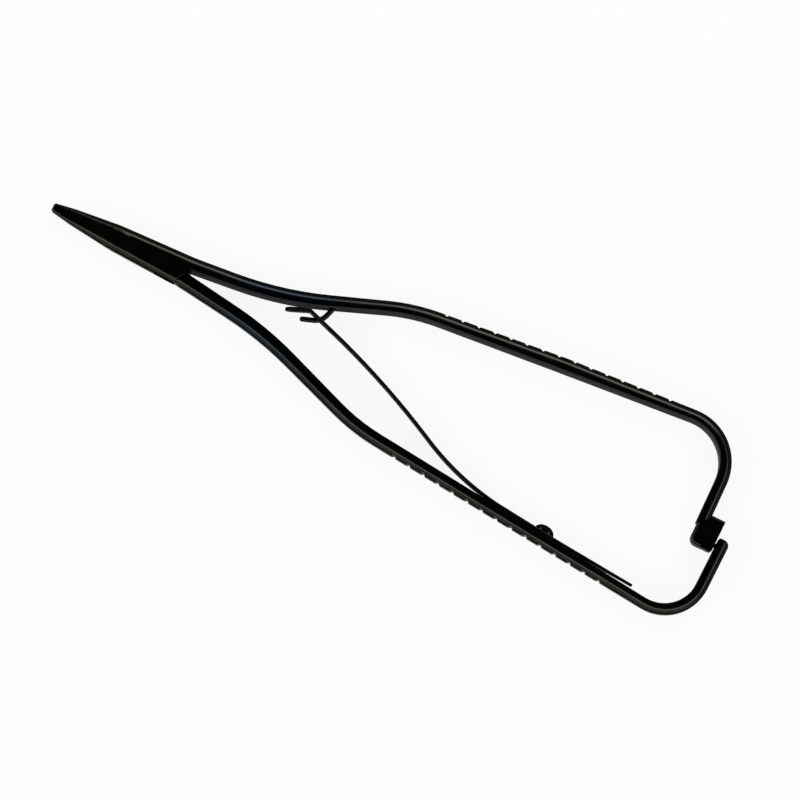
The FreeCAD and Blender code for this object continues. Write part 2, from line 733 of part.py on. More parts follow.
def make_ratchet_block():
    """The block at the end of the upper leg, with its lower rack, return track and teeth."""
    near = 0.01
    front = new_body("block_front_part")
    blank = pad(front, "block_plan", block_plan(), 0, "Sizes.body_height")
    rim = front.newObject("PartDesign::Fillet", "block_rounded")
    low = size("block_bottom") - near
    high = size("block_shoulder") - size("block_lap") / 2
    left = size("block_front") - near
    right = size("block_step") + near
    tips = []
    for level in (0, HEIGHT):
        corners = Vector(left, low, level - near), Vector(right, high, level + near)
        tips += [f"Edge{number}" for number in edges_near(blank.Shape, *corners)]
    rim.Base = (blank, tips)
    rim.setExpression("Radius", "Sizes.block_round")
    doc.recompute()
    rack = new_body("block_rack_part")
    rack_low = MIDDLE - size("block_height") / 2
    rack_high = MIDDLE + size("block_height") / 2
    bar = pad(rack, "rack_plan", rack_plan(), rack_low, "Sizes.block_height")
    bevels = rack.newObject("PartDesign::Chamfer", "rack_beveled")
    edges = []
    for level in (rack_low, rack_high):
        low = Vector(size("block_step") - BEYOND, size("block_top") - near, level - near)
        high = Vector(size("block_rear") + near, size("block_top") + near, level + near)
        edges += [f"Edge{number}" for number in edges_near(bar.Shape, low, high)]
    bevels.Base = (bar, edges)
    bevels.setExpression("Size", "Sizes.rack_bevel")
    doc.recompute()
    track = size("track_height")
    root = size("block_rear") - size("track_depth")
    past = size("block_rear") + BEYOND
    low = size("block_bottom") - BEYOND
    top = size("track_top")
    groove = loop([Vector(root, low, 0), Vector(past, low, 0), Vector(past, top, 0), Vector(root, top, 0)])
    pocket(rack, "return_track", groove, MIDDLE - track, "Sizes.track_height")
    pocket(rack, "toothed_track", tooth_gaps(), MIDDLE, "Sizes.track_height")
    return [front, rack]


def make_box_half(outer_form):
    """Lower jaw, cheeks with the tongue's slot, upper arm and ratchet block."""
    body = new_body("box_blank")
    pad(body, "box_plan", rounded(box_half_plan()), 0, "Sizes.body_height")
    pocket(body, "upper_notches", notch_outlines("upper", 1), 0, "Sizes.body_height")
    slot = size("tongue_height") + 2 * size("slide_gap")
    pocket(body, "tongue_slot", slot_plan(), MIDDLE - slot / 2, "Sizes.tongue_height + 2 * Sizes.slide_gap")
    beveled = bevel(toothed(body, -1), inner_corners("upper"), "upper_inner_bevel")
    shaped = boolean("Part::MultiCommon", "box_shaped", [beveled, outer_form])
    joined = boolean("Part::MultiFuse", "box_with_block", [shaped] + make_ratchet_block())
    pin_hole = cylinder("pin_hole", "Sizes.pin_diameter / 2", "Sizes.body_height", Vector(0, 0, 0), UP)
    hook_hole = cylinder("hook_hole", "Sizes.hook_diameter / 2", "Sizes.hook_depth + Sizes.hook_diameter",
                         hook_root() - hook_rise() * size("hook_diameter"), hook_rise())
    return cut("box_half", joined, [pin_hole, hook_hole] + step_bevels())


# tongue_half: upper jaw, tongue, lower arm, its leg and the ratchet finger

def cheek_room():
    """Plan of the space that the cheeks take, with a clearance at both steps."""
    reach = 3 * size("box_rear_half")
    sides = []
    for front in (True, False):
        inner, outer = step_line(front)
        along = unit(outer - inner)
        away = Vector(along.y, -along.x, 0)
        if (away.x > 0) == front:
            away = away * -1
        shift = away * size("step_gap")
        sides.append([inner - along * reach + shift, outer + along * reach + shift])
    return loop([sides[0][1], sides[0][0], sides[1][1], sides[1][0]])


def make_beak(body):
    """The beak on the finger, which stands in the return track when the jaws are shut."""
    face = size("lower_heel_x") + size("lower_leg_lean") - size("lower_leg_width") / 2
    tip = size("block_rear") - size("track_depth") + size("finger_gap")
    top = -size("beak_place")
    inside = face + size("lower_leg_width") / 2
    width = size("beak_width")
    points = [
        Vector(inside, top, 0),
        Vector(tip, top, 0),
        Vector(face, top - width, 0),
        Vector(inside, top - width, 0),
    ]
    low = MIDDLE - size("track_height") + size("finger_gap")
    pad(body, "beak", loop(points), low, "Sizes.track_height - 2 * Sizes.finger_gap")


def make_tongue_half(outer_form):
    """Upper jaw, tongue, lower arm and the ratchet finger."""
    body = new_body("tongue_blank")
    pad(body, "tongue_plan", rounded(tongue_half_plan()), 0, "Sizes.body_height")
    pocket(body, "lower_notches", notch_outlines("lower", -1), 0, "Sizes.body_height")
    tongue_top = MIDDLE + size("tongue_height") / 2
    side = "(Sizes.body_height - Sizes.tongue_height) / 2"
    pocket(body, "lower_cheek_room", cheek_room(), 0, side)
    pocket(body, "upper_cheek_room", cheek_room(), tongue_top, side)
    beveled = bevel(toothed(body, 1), flipped(inner_corners("lower"), -1), "lower_inner_bevel")
    shaped = boolean("Part::MultiCommon", "tongue_shaped", [beveled, outer_form])
    beak = new_body("beak_body")
    make_beak(beak)
    joined = boolean("Part::MultiFuse", "tongue_with_beak", [shaped, beak])
    pin_bore = cylinder("pin_bore", "Sizes.pin_diameter / 2 + Sizes.pin_running_gap", "Sizes.body_height",
                        Vector(0, 0, 0), UP)
    seat, out = screw_seat()
    screw_hole = cylinder("screw_hole", "Sizes.screw_diameter / 2", "Sizes.screw_depth + Sizes.leaf_thickness",
                          seat - out * size("screw_depth"), out)
    return cut("tongue_half", joined, [pin_bore, screw_hole])


# Small pieces

def make_pivot_pin():
    """The rivet through the cheeks and the tongue, ground flush."""
    return cylinder("pivot_pin", "Sizes.pin_diameter / 2", "Sizes.body_height", Vector(0, 0, 0), UP)


def hook_bend_point():
    """Where the hook's two straight ends would meet."""
    return Vector(size("hook_bend_x"), size("hook_bend_y"), MIDDLE)


def hook_root():
    """Where the hook leaves the upper arm's inner face."""
    x = size("hook_x")
    y, _ = height_on(inner_corners("upper"), x)
    return Vector(x, y, MIDDLE)


def hook_rise():
    """Direction of the hook's root into the upper arm."""
    return unit(hook_root() - hook_bend_point())


def make_spring_hook():
    """Round wire, bent to a hook with a rounded end and riveted into the upper arm."""
    start = hook_root() + hook_rise() * size("hook_depth")
    end = Vector(size("hook_end_x"), size("hook_end_y"), MIDDLE)
    bend = hook_bend_point()
    past = bend + unit(end - bend) * size("hook_bend")
    path = doc.addObject("Part::Feature", "hook_path")
    path.Shape = Part.makePolygon([start, bend + hook_rise() * size("hook_bend"), past, end])
    section = doc.addObject("Part::Circle", "hook_section")
    section.setExpression("Radius", "Sizes.hook_diameter / 2")
    section.Placement = FreeCAD.Placement(start, FreeCAD.Rotation(UP, hook_rise()))
    wire = doc.addObject("Part::Sweep", "hook_wire")
    wire.Sections = [section]
    wire.Spine = (path, [f"Edge{number + 1}" for number in range(len(path.Shape.Edges))])
    wire.Solid = True
    wire.Transition = "Right corner"
    cap = doc.addObject("Part::Cone", "hook_end")
    cap.setExpression("Radius1", "Sizes.hook_diameter / 2")
    cap.setExpression("Radius2", "Sizes.hook_diameter / 4")
    cap.setExpression("Height", "Sizes.hook_diameter / 4")
    cap.Placement = FreeCAD.Placement(end, FreeCAD.Rotation(UP, unit(end - bend)))
    return boolean("Part::MultiFuse", "spring_hook", [wire, cap])


def screw_seat():
    """Where the leaf lies on the lower arm at the screw, and the direction out of the arm there."""
    x = size("screw_x")
    y, along = height_on(inner_corners("lower"), x)
    return Vector(x, -y, MIDDLE), Vector(along.y, along.x, 0)


def leaf_corners(side):
    """One face of the leaf as a row of corners: its face to the upper arm, or to the lower arm."""
    half = size("leaf_thickness") / 2
    tail = size("leaf_tail_thickness") / 2
    points = []
    for x, gap in ((size("leaf_end_x"), size("leaf_end_gap")), (size("leaf_fold_x"), size("leaf_fold_gap"))):
        y, along = height_on(inner_corners("upper"), x)
        points.append(Vector(x, y - (gap + half) / along.x, 0))
    bow = Vector(size("leaf_bow_x"), size("leaf_bow_y"), 0)
    seat, out = screw_seat()
    along = Vector(out.y, -out.x, 0)
    seat = Vector(seat.x, seat.y, 0) + out * half
    turn = seat + along * ((size("leaf_seat_x") - seat.x) / along.x)
    lift = seat + along * ((size("leaf_lift_x") - seat.x) / along.x)
    angle = math.radians(size("leaf_lift"))
    away = along * math.cos(angle) + out * math.sin(angle)
    end = lift + away * ((size("leaf_tail_x") - lift.x) / away.x)
    stations = [
        (points[0], 0, 2 * half, 2 * half),
        (points[1], size("leaf_fold_bend"), 2 * half, 2 * half),
        (bow, size("leaf_bow_bend"), 2 * half, 2 * half),
        (turn, size("leaf_seat_bend"), 2 * half, 2 * half),
        (lift, size("leaf_lift_bend"), 2 * half, 2 * half),
        (end, 0, 2 * tail, 2 * tail),
    ]
    return offset_path(stations, side)


def leaf_end_cuts():
    """Side views of what the leaf loses: its rounded free end and its narrowing tail."""
    half = size("leaf_height") / 2
    tail = size("leaf_tail_height") / 2
    start = size("leaf_lift_x")
    end = size("leaf_tail_x")
    front = size("leaf_end_x")
    outlines = []
    for sign in (1, -1):
        past = MIDDLE + sign * (half + BEYOND)
        taper = [
            Vector(start, MIDDLE + sign * half, 0),
            Vector(end + BEYOND, MIDDLE + sign * tail, 0),
            Vector(end + BEYOND, past, 0),
            Vector(start, past, 0),
        ]
        bite = [
            Vector(front + half / 2, MIDDLE + sign * half, 0),
            Vector(front - BEYOND, MIDDLE + sign * (half / 2 - BEYOND), 0),
            Vector(front - BEYOND, past, 0),
            Vector(front + half / 2, past, 0),
        ]
        outlines += loop(taper) + loop(bite)
    return outlines


def make_leaf_spring():
    """The flat spring, slotted for the hook and drilled for the screw."""
    body = new_body("leaf_blank")
    outline = rounded(leaf_corners(1) + list(reversed(leaf_corners(-1))))
    low = MIDDLE - size("leaf_height") / 2
    pad(body, "leaf_plan", outline, low, "Sizes.leaf_height")
    side_pocket(body, "leaf_ends", leaf_end_cuts())
    seat, out = screw_seat()
    drill = cylinder("leaf_hole", "Sizes.screw_diameter / 2 + Sizes.thread_gap", "3 * Sizes.leaf_thickness",
                     seat - out * size("leaf_thickness"), out)
    fold = leaf_corners(-1)[1][0]
    bow = leaf_corners(-1)[2][0]
    along = unit(bow - fold)
    share = (hook_bend_point().x - fold.x) / along.x
    crossing = fold + along * share
    slot = doc.addObject("Part::Box", "hook_slot")
    slot.setExpression("Length", "Sizes.leaf_slot_length")
    slot.setExpression("Width", "4 * Sizes.leaf_thickness")
    slot.setExpression("Height", "Sizes.leaf_slot_height")
    across = Vector(-along.y, along.x, 0)
    corner = crossing - along * (size("leaf_slot_length") / 2) - across * (1.5 * size("leaf_thickness"))
    corner = corner + UP * (MIDDLE - size("leaf_slot_height") / 2)
    slot.Placement = FreeCAD.Placement(corner, FreeCAD.Rotation(Vector(1, 0, 0), along))
    return cut("leaf_spring", body, [drill, slot])


def make_spring_screw():
    """The screw with its rimmed dome and driver slot, built upright and laid into the arm."""
    body = new_body("screw_blank")
    shank = size("screw_diameter") / 2
    head = size("screw_head") / 2
    seat_level = size("screw_depth") + size("leaf_thickness")
    rim = seat_level + size("screw_rim")
    crown = rim + size("screw_dome")
    shoulder = Vector(size("screw_shoulder") / 2, crown - size("screw_crown_rise"), 0)
    flat = Vector(size("screw_crown") / 2, crown, 0)
    outline = [
        Part.LineSegment(Vector(0, 0, 0), Vector(shank, 0, 0)),
        Part.LineSegment(Vector(shank, 0, 0), Vector(shank, seat_level, 0)),
        Part.LineSegment(Vector(shank, seat_level, 0), Vector(head, seat_level, 0)),
        Part.LineSegment(Vector(head, seat_level, 0), Vector(head, rim, 0)),
        Part.LineSegment(Vector(head, rim, 0), shoulder),
        Part.LineSegment(shoulder, flat),
        Part.LineSegment(flat, Vector(0, crown, 0)),
        Part.LineSegment(Vector(0, crown, 0), Vector(0, 0, 0)),
    ]
    turned = body.newObject("PartDesign::Revolution", "screw_turned")
    turned.Profile = sketch_on(body, "screw_profile", outline, 0.0, "XZ_Plane")
    turned.ReferenceAxis = (turned.Profile[0], ["V_Axis"])
    turned.Angle = 360
    doc.recompute()
    half = size("screw_slot") / 2
    reach = size("screw_head")
    corners = [(-reach, -half), (reach, -half), (reach, half), (-reach, half)]
    slot = loop([Vector(x, y, 0) for x, y in corners])
    pocket(body, "driver_slot", slot, crown - size("screw_slot_depth"), "2 * Sizes.screw_slot_depth")
    seat, out = screw_seat()
    body.Placement = FreeCAD.Placement(seat - out * size("screw_depth"), FreeCAD.Rotation(UP, out))
    doc.recompute()
    return body


def check(parts):
    """Stops if any feature failed or any part isn't one valid solid."""
    for feature in doc.Objects:
        if "Invalid" in feature.State or "Error" in feature.State:
            raise RuntimeError(feature.Name + " failed")
    for name, part in parts.items():
        shape = part.Shape
        if shape.isNull() or not shape.isValid() or len(shape.Solids) != 1:
            raise RuntimeError(f"{name} isn't one valid solid")


outer_form = make_outer_form()
parts = {
    "box_half": make_box_half(outer_form),
    "tongue_half": make_tongue_half(outer_form),
    "pivot_pin": make_pivot_pin(),
    "leaf_spring": make_leaf_spring(),
    "spring_screw": make_spring_screw(),
    "spring_hook": make_spring_hook(),
}
doc.recompute()
for name, part in parts.items():
    part.Label = name
check(parts)

os.makedirs("parts", exist_ok=True)
for name, part in parts.items():
    part.Shape.exportStep("parts/" + name + ".step")
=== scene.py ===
import math

import bmesh
import bpy
from mathutils import Matrix, Vector


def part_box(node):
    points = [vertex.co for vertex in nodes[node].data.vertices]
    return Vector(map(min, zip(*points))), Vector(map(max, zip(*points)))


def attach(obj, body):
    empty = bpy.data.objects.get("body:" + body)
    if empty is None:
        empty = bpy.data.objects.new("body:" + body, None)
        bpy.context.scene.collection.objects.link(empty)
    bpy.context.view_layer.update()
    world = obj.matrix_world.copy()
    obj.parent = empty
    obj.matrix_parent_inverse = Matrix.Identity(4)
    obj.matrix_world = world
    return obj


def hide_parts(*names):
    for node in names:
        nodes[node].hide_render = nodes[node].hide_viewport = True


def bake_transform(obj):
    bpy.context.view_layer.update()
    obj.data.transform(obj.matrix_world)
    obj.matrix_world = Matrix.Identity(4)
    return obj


MM = 0.001

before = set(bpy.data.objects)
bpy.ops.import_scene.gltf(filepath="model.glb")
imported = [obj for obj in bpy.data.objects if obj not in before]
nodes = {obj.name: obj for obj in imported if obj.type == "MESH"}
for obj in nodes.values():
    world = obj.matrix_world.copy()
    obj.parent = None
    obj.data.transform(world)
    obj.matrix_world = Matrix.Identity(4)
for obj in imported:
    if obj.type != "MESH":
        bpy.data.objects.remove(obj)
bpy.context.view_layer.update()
collection = bpy.context.scene.collection


# Camera: the photograph looks down on the instrument, tipped a little towards the lower edge

TURN = math.radians(26.3)       # the instrument's slope in the picture
TILT = math.radians(7.0)        # the camera's lean from straight above
AIM = Vector((53.55, -3.77, 2.5)) * MM
DISTANCE = 0.9
FRAME_WIDTH = 147.7 * MM
SENSOR = 36.0


def make_camera():
    """The photograph's view."""
    right = Vector((math.cos(TURN), math.sin(TURN), 0))
    up_flat = Vector((-math.sin(TURN), math.cos(TURN), 0))
    back = Vector((0, 0, 1)) * math.cos(TILT) - up_flat * math.sin(TILT)
    up = back.cross(right)
    data = bpy.data.cameras.new("camera")
    data.sensor_width = SENSOR
    data.lens = SENSOR * DISTANCE / FRAME_WIDTH
    data.clip_start = 0.01
    data.clip_end = 10
    camera = bpy.data.objects.new("camera", data)
    collection.objects.link(camera)
    rotation = Matrix((right, up, back)).transposed()
    camera.matrix_world = Matrix.Translation(AIM + back * DISTANCE) @ rotation.to_4x4()
    bpy.context.scene.camera = camera


# Light and floor

# Heights in the sky run from 0 at the horizon to 1 overhead. A band starts, is full, is still full, and ends.

HIGH_BAND = (0.42, 0.54, 0.66, 0.78)    # a bright band all round
HIGH_WALL = 3.2
LOW_BAND = (-0.1, 0.0, 0.2, 0.32)       # a dimmer one low down, in front of the instrument
LOW_WALL = 1.2
LOW_SIDE = (0.1, 0.6)                   # how far to the front it starts, and is full
CEILING = 0.02                          # brightness of all the rest, such as the ceiling over the camera
FAR_SIDE = (-0.7, 0.3, 0.35)            # the high band fades to this share of itself towards the back
WHITE_SHARE = 0.9                       # how much of the floor's white doesn't depend on the light
REFLECTED_SHARE = 0.4                   # the same in the metal's reflections, which show the shadow under it
FLOOR_GREY = 0.9                        # how much of the light the floor sends back
FLOOR_HALF = 6                          # half the floor's width, in metres: it fills all but very low views
FLOOR_DROP = 0.02 * MM                  # the floor lies this far under the instrument

LIT_PLACE = (0.05, 0, 0)                # the point that both lamps look at
LAMPS = [                               # name, place, width and height in metres, and power in watts
    ("lamp_top", (0.05, 0.55, 0.6), 0.5, 0.35, 2.0),
    ("lamp_side", (-0.5, -0.45, 0.4), 0.35, 0.35, 1.0),
]


def area_light(name, place, width, height, power):
    """A soft box that looks at the instrument."""
    data = bpy.data.lights.new(name, "AREA")
    data.shape = "RECTANGLE"
    data.size = width
    data.size_y = height
    data.energy = power
    lamp = bpy.data.objects.new(name, data)
    lamp.location = place
    lamp.rotation_euler = (Vector(place) - Vector(LIT_PLACE)).to_track_quat("Z", "Y").to_euler()
    collection.objects.link(lamp)


def ramp_node(tree, source, start, full):
    """A smooth rise of a value from 0 at start to 1 at full."""
    node = tree.nodes.new("ShaderNodeMapRange")
    node.interpolation_type = "SMOOTHSTEP"
    node.inputs["From Min"].default_value = start
    node.inputs["From Max"].default_value = full
    tree.links.new(source, node.inputs["Value"])
    return node.outputs["Result"]


def maths(tree, operation, first, second):
    """One sum with two values, each a socket or a number."""
    node = tree.nodes.new("ShaderNodeMath")
    node.operation = operation
    for socket, value in zip(node.inputs, (first, second)):
        if isinstance(value, float):
            socket.default_value = value
        else:
            tree.links.new(value, socket)
    return node.outputs["Value"]


def band(tree, height, levels):
    """1 inside a band of the sky, 0 outside it."""
    rise = ramp_node(tree, height, levels[0], levels[1])
    fall = ramp_node(tree, height, levels[2], levels[3])
    return maths(tree, "SUBTRACT", rise, fall)


def studio_world():
    """A dark studio with bright bands: flat tops stay black and rounded edges catch a thin light."""
    world = bpy.data.worlds.new("studio")
    world.use_nodes = True
    tree = world.node_tree
    tree.nodes.clear()
    output = tree.nodes.new("ShaderNodeOutputWorld")
    ground = tree.nodes.new("ShaderNodeBackground")
    ground.inputs["Color"].default_value = (1, 1, 1, 1)
    place = tree.nodes.new("ShaderNodeTexCoord")
    split = tree.nodes.new("ShaderNodeSeparateXYZ")
    tree.links.new(place.outputs["Generated"], split.inputs["Vector"])
    forward = maths(tree, "MULTIPLY", split.outputs["Y"], -1.0)
    near = ramp_node(tree, forward, FAR_SIDE[0], FAR_SIDE[1])
    share = maths(tree, "ADD", maths(tree, "MULTIPLY", near, 1 - FAR_SIDE[2]), FAR_SIDE[2])
    high_part = maths(tree, "MULTIPLY", band(tree, split.outputs["Z"], HIGH_BAND), share)
    high = maths(tree, "MULTIPLY", high_part, HIGH_WALL)
    front = ramp_node(tree, forward, *LOW_SIDE)
    low_part = maths(tree, "MULTIPLY", band(tree, split.outputs["Z"], LOW_BAND), front)
    low = maths(tree, "MULTIPLY", low_part, LOW_WALL)
    light = maths(tree, "ADD", maths(tree, "ADD", high, low), CEILING)
    tree.links.new(light, ground.inputs["Strength"])
    tree.links.new(ground.outputs["Background"], output.inputs["Surface"])
    bpy.context.scene.world = world


def plain_floor():
    """The white table. It shows white to the camera and in reflections, and keeps a share of the shadow."""
    material = bpy.data.materials.new("floor")
    material.use_nodes = True
    tree = material.node_tree
    tree.nodes.clear()
    output = tree.nodes.new("ShaderNodeOutputMaterial")
    diffuse = tree.nodes.new("ShaderNodeBsdfDiffuse")
    diffuse.inputs["Color"].default_value = (FLOOR_GREY, FLOOR_GREY, FLOOR_GREY, 1)
    white = tree.nodes.new("ShaderNodeEmission")
    white.inputs["Strength"].default_value = 1.0
    seen = tree.nodes.new("ShaderNodeLightPath").outputs
    reflected = maths(tree, "MAXIMUM", seen["Is Glossy Ray"], seen["Is Transmission Ray"])
    reflected_white = maths(tree, "MULTIPLY", reflected, REFLECTED_SHARE)
    direct_white = maths(tree, "MULTIPLY", seen["Is Camera Ray"], WHITE_SHARE)
    mix = tree.nodes.new("ShaderNodeMixShader")
    tree.links.new(maths(tree, "MAXIMUM", direct_white, reflected_white), mix.inputs["Fac"])
    tree.links.new(diffuse.outputs["BSDF"], mix.inputs[1])
    tree.links.new(white.outputs["Emission"], mix.inputs[2])
    tree.links.new(mix.outputs["Shader"], output.inputs["Surface"])
    half = FLOOR_HALF
    corners = [(-half, -half, 0), (half, -half, 0), (half, half, 0), (-half, half, 0)]
    mesh = bpy.data.meshes.new("floor")
    mesh.from_pydata(corners, [], [(0, 1, 2, 3)])
    mesh.materials.append(material)
    floor = bpy.data.objects.new("floor", mesh)
    floor.location.z = -FLOOR_DROP
    collection.objects.link(floor)


# Materials

GRAZING = 0.06          # how much of a bare metal's glare is left at a grazing angle
COLD_FROM = 8 * MM      # along the instrument, where the painted reflection tint turns from warm to cold
COLD_TO = 20 * MM
NEUTRAL_FROM = 30 * MM
NEUTRAL_TO = 50 * MM
TINT_SPAN = 120 * MM    # the length that the painted reflection tints are laid out on
# Painted reflection: tints that stand in for the colours of reflected light, warm at the jaws, cold along the
# arms and neutral at the rear
PAINTED_WARM_REFLECTION = (1.1, 1.02, 0.86)
PAINTED_COLD_REFLECTION = (0.72, 0.9, 1.08)
PAINTED_NEUTRAL_REFLECTION = (1.06, 1.0, 0.88)
WEAR_SCALE = 260        # how fine the faint wear is, in patches for a metre
WEAR_DETAIL = 5
WEAR_FROM = (0.3, 0.7)  # the part of the noise that shows as wear
WEAR_TO = (0.86, 1.14)  # how much darker and lighter it makes the coating
ROUGHNESS_DOWN = 0.06   # how far the wear takes the roughness down and up
ROUGHNESS_UP = 0.08
GRAIN_SCALE = 9000
GRAIN_DETAIL = 2
GRAIN_HEIGHT = 0.02 * MM
BODY_COAT = (0.026, 0.19, 0.12)         # how light, how rough and how grainy
SPRING_COAT = (0.024, 0.24, 0.1)


def noise(tree, place, scale, detail):
    """A cloudy pattern over the object, from 0 to 1."""
    node = tree.nodes.new("ShaderNodeTexNoise")
    node.inputs["Scale"].default_value = scale
    node.inputs["Detail"].default_value = detail
    tree.links.new(place, node.inputs["Vector"])
    return node.outputs["Fac"]


def coated_steel(name, shine, roughness, grain):
    """A black hard coating on satin steel: dark, with thin highlights, fine grain, faint wear and a painted
    reflection tint along its length.
    """
    material = bpy.data.materials.new(name)
    material.use_nodes = True
    tree = material.node_tree
    shader = tree.nodes["Principled BSDF"]
    shader.inputs["Metallic"].default_value = 1.0
    shader.inputs["Specular Tint"].default_value = (GRAZING, GRAZING, GRAZING, 1)
    place = tree.nodes.new("ShaderNodeTexCoord")

    # Painted reflection: the coating's colour is tinted warm, cold and neutral along the instrument, in place
    # of the colours of the reflected light
    reflection_tint = tree.nodes.new("ShaderNodeValToRGB")
    stops = reflection_tint.color_ramp.elements
    warm_reflection, cold_reflection, neutral_reflection = [tuple(shine * part for part in tint) + (1,) for tint in (PAINTED_WARM_REFLECTION, PAINTED_COLD_REFLECTION, PAINTED_NEUTRAL_REFLECTION)]
    stops[0].position = COLD_FROM / TINT_SPAN
    stops[0].color = warm_reflection
    stops[1].position = NEUTRAL_TO / TINT_SPAN
    stops[1].color = neutral_reflection
    stops.new(COLD_TO / TINT_SPAN).color = cold_reflection
    stops.new(NEUTRAL_FROM / TINT_SPAN).color = cold_reflection
    split = tree.nodes.new("ShaderNodeSeparateXYZ")
    tree.links.new(place.outputs["Object"], split.inputs["Vector"])
    tree.links.new(maths(tree, "DIVIDE", split.outputs["X"], TINT_SPAN), reflection_tint.inputs["Fac"])

    cloud = noise(tree, place.outputs["Object"], WEAR_SCALE, WEAR_DETAIL)
    wear = tree.nodes.new("ShaderNodeMapRange")
    wear.inputs["From Min"].default_value = WEAR_FROM[0]
    wear.inputs["From Max"].default_value = WEAR_FROM[1]
    wear.inputs["To Min"].default_value = WEAR_TO[0]
    wear.inputs["To Max"].default_value = WEAR_TO[1]
    tree.links.new(cloud, wear.inputs["Value"])
    shade = tree.nodes.new("ShaderNodeVectorMath")
    shade.operation = "SCALE"
    tree.links.new(reflection_tint.outputs["Color"], shade.inputs["Vector"])
    tree.links.new(wear.outputs["Result"], shade.inputs["Scale"])
    tree.links.new(shade.outputs["Vector"], shader.inputs["Base Color"])

    spread = tree.nodes.new("ShaderNodeMapRange")
    spread.inputs["To Min"].default_value = roughness - ROUGHNESS_DOWN
    spread.inputs["To Max"].default_value = roughness + ROUGHNESS_UP
    tree.links.new(cloud, spread.inputs["Value"])
    tree.links.new(spread.outputs["Result"], shader.inputs["Roughness"])

    bump = tree.nodes.new("ShaderNodeBump")
    bump.inputs["Strength"].default_value = grain
    bump.inputs["Distance"].default_value = GRAIN_HEIGHT
    fine = noise(tree, place.outputs["Object"], GRAIN_SCALE, GRAIN_DETAIL)
    tree.links.new(fine, bump.inputs["Height"])
    tree.links.new(bump.outputs["Normal"], shader.inputs["Normal"])
    return material


def finish_node(name, material):
    """The CAD node shows in the material."""
    mesh = nodes[name].data
    mesh.materials.clear()
    mesh.materials.append(material)


SMOOTH_ANGLE = math.radians(35)         # faces that meet at less than this are shaded as one
WELD = 0.0001 * MM                      # points nearer to a cutting plane than this count as on it


def new_object(name, form, material, smooth_angle=SMOOTH_ANGLE):
    """A bmesh as an object of the scene, smooth where its faces meet gently."""
    mesh = bpy.data.meshes.new(name)
    bmesh.ops.recalc_face_normals(form, faces=form.faces)
    form.to_mesh(mesh)
    form.free()
    mesh.materials.append(material)
    mesh.polygons.foreach_set("use_smooth", [True] * len(mesh.polygons))
    mesh.set_sharp_from_angle(angle=smooth_angle)
    thing = bpy.data.objects.new(name, mesh)
    collection.objects.link(thing)
    return thing


def skin_rings(form, rings):
    """Closes a row of rings of vertices into one skin with two ends."""
    count = len(rings[0])
    for here, there in zip(rings, rings[1:]):
        for side in range(count):
            after = (side + 1) % count
            form.faces.new((here[side], here[after], there[after], there[side]))
    form.faces.new(list(reversed(rings[0])))
    form.faces.new(rings[-1])


def slice_form(form, place, out, cut_away):
    """Cuts a bmesh along a plane, and takes off what lies outside it where cut_away is true."""
    every = form.verts[:] + form.edges[:] + form.faces[:]
    bmesh.ops.bisect_plane(form, geom=every, plane_co=place, plane_no=out, clear_outer=cut_away, dist=WELD)


# Leaf spring: the CAD leaf with eased edges, cut across into short pieces

LEAF_EASE = 0.12 * MM       # rounding of the strip's edges
LEAF_MERGE = 0.001 * MM     # points of the CAD mesh that are nearer than this are one
LEAF_FLAT = math.radians(1)     # faces that meet at less than this become one face
LEAF_SHARP = math.radians(40)   # edges sharper than this are eased
LEAF_STEP = 1.5 * MM        # length of the pieces that the strip is cut into


def make_leaf(material):
    """The leaf spring's strip."""
    node = nodes["leaf_spring"]
    form = bmesh.new()
    form.from_mesh(node.data)
    form.transform(node.matrix_world)
    bmesh.ops.remove_doubles(form, verts=form.verts, dist=LEAF_MERGE)
    bmesh.ops.dissolve_limit(form, angle_limit=LEAF_FLAT, verts=form.verts, edges=form.edges)
    sharp = [edge for edge in form.edges if edge.is_manifold and edge.calc_face_angle(0) > LEAF_SHARP]
    bmesh.ops.bevel(
        form, geom=sharp, offset=LEAF_EASE, segments=2, profile=0.5, affect="EDGES", clamp_overlap=True)
    low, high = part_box("leaf_spring")
    for step in range(1, int((high[0] - low[0]) / LEAF_STEP)):
        slice_form(form, Vector((low[0] + step * LEAF_STEP, 0, 0)), (1, 0, 0), False)
    leaf = new_object("leaf_strip", form, material)
    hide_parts("leaf_spring")
    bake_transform(leaf)


# Hook: a bent wire with a rounded end

HOOK_RADIUS = 0.5 * MM
HOOK_ROOT = Vector((35.3, 7.1, 2.5)) * MM
HOOK_BEND = Vector((34.0, 2.95, 2.5)) * MM
HOOK_END = Vector((30.62, 1.74, 2.5)) * MM
HOOK_TURN = 1.5 * MM        # how far before the bend the wire begins to curve
HOOK_STEPS = 12             # straight pieces in the bend
HOOK_SIDES = 20             # flats around the wire
HOOK_CAP = (80, 55, 30)     # rings of its rounded ends, in degrees up from the wire's own width


def tube(path, radius, sides):
    """A round wire along a path, closed and rounded at both ends."""
    form = bmesh.new()
    rings = []
    up = Vector((0, 0, 1))
    cap = [(math.cos(math.radians(turn)), math.sin(math.radians(turn))) for turn in HOOK_CAP]
    first = (path[1] - path[0]).normalized()
    last = (path[-1] - path[-2]).normalized()
    stations = [(path[0] - first * radius * rise, first, radius * wide) for wide, rise in cap]
    for index, point in enumerate(path):
        before = path[max(index - 1, 0)]
        after = path[min(index + 1, len(path) - 1)]
        stations.append((point, (after - before).normalized(), radius))
    stations += [(path[-1] + last * radius * rise, last, radius * wide) for wide, rise in reversed(cap)]
    for centre, along, wide in stations:
        across = along.cross(up).normalized()
        ring = []
        for side in range(sides):
            turn = 2 * math.pi * side / sides
            ring.append(form.verts.new(centre + (across * math.cos(turn) + up * math.sin(turn)) * wide))
        rings.append(ring)
    skin_rings(form, rings)
    return form


